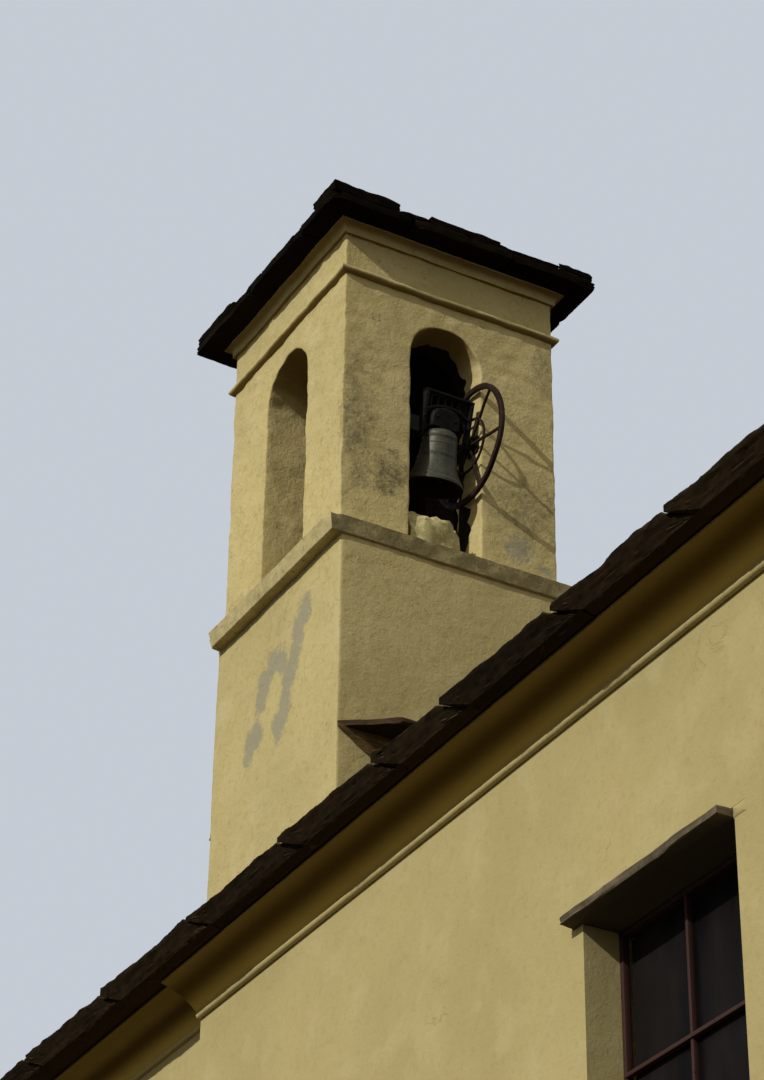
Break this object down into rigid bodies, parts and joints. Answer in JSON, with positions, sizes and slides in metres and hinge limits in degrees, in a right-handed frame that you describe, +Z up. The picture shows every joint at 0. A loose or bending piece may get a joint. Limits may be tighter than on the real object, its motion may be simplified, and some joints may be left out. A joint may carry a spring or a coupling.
{
  "type": "small chapel with a bell turret",
  "caption": "Small plastered chapel with a stone-slab roof, coved eaves and a square bell turret whose arched opening holds a swinging bell with a wheel.",
  "frame": {"origin": "middle of the plan at ground level, on the underside of the floor", "axes": "+Z up, +Y from the door end to the choir end, +X to the right seen from the door"},
  "size_m": [5.8886, 11.04, 11.525],
  "materials": {
    "plaster": "matte",
    "rough_stone": "rough",
    "slab_stone": "rough",
    "timber": "matte",
    "window_paint": "satin",
    "window_glass": "gloss",
    "bell_bronze": "satin",
    "old_iron": "rough"
  },
  "bodies": {
    "chapel": {"left_wall": "plaster", "right_wall": "plaster", "front_wall": "plaster", "choir_left_wall": "plaster", "choir_right_wall": "plaster", "choir_end_wall": "plaster", "left_cornice": "plaster", "right_cornice": "plaster", "choir_left_cornice": "plaster", "choir_right_cornice": "plaster", "shaft_front_wall": "plaster", "shaft_rear_wall": "plaster", "shaft_side_walls": "plaster", "front_left_pier": "plaster", "front_right_pier": "plaster", "rear_left_pier": "plaster", "rear_right_pier": "plaster", "front_arch": "plaster", "rear_arch": "plaster", "left_arch": "plaster", "right_arch": "plaster", "belfry_sills": "plaster", "string_course": "plaster", "belfry_cornice": "plaster", "stone_band": "rough_stone", "front_sill_block": "rough_stone", "nave_floor": "rough_stone", "door_step": "rough_stone", "belfry_floor": "rough_stone", "left_roof_slabs": "slab_stone", "right_roof_slabs": "slab_stone", "ridge_stones": "slab_stone", "flashing_slabs": "slab_stone", "belfry_eave_slabs": "slab_stone", "belfry_roof_courses": "slab_stone", "lintel_slabs": "slab_stone", "left_roof_boards": "timber", "right_roof_boards": "timber", "ridge_beam": "timber", "door_frame": "timber", "door_leaves": "timber", "window_frames": "window_paint", "window_panes": "window_glass", "bell_bearings": "old_iron"},
    "bell_assembly": {"bell": "bell_bronze", "headstock": "old_iron", "bell_wheel": "old_iron", "clapper": "old_iron"}
  },
  "joints": [
    {"name": "bell_swing", "type": "hinge", "parent": "chapel", "child": "bell_assembly", "pos_m": [-2.056, 1.22, 10.068], "axis": [1, 0, 0], "range_deg": [-86, 54]}
  ]
}
